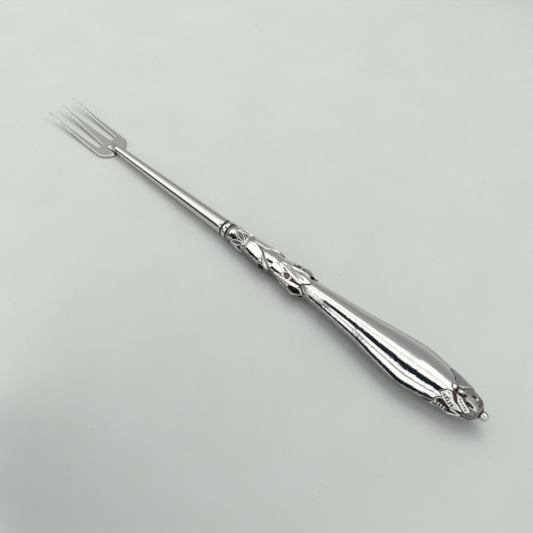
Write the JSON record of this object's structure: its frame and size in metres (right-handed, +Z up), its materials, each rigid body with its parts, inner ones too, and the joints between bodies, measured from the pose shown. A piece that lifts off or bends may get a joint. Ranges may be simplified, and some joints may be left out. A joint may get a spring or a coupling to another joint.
{
  "type": "pickle fork",
  "caption": "Silver pickle fork: slim curved tines on a flat root, tapered round stem, and a pitch-filled handle with leaf calyx, plain polished belly, leaf cap and ball finial.",
  "frame": {"origin": "on the table, under the middle of the fork's bounding box", "axes": "+X along the fork from the tine tips to the ball finial, +Y to the left of the tines seen from the handle, +Z up from the table"},
  "size_m": [0.2012, 0.0158, 0.0099],
  "materials": {
    "handle_silver": "polished silver with fine scratches, small dents and brown-black tarnish in the chasing",
    "fork_silver": "polished silver worn to a soft satin, fine scratches along the length",
    "pitch": "dull dark cement pitch"
  },
  "bodies": {
    "root": {"fork_head": "fork_silver", "stem_with_tang": "fork_silver", "mouth_ring": "handle_silver", "neck_calyx": "handle_silver", "handle_front_shell": "handle_silver", "handle_back_shell": "handle_silver", "leaf_cap": "handle_silver", "ball_finial": "handle_silver", "pitch_filling": "pitch"}
  },
  "joints": []
}
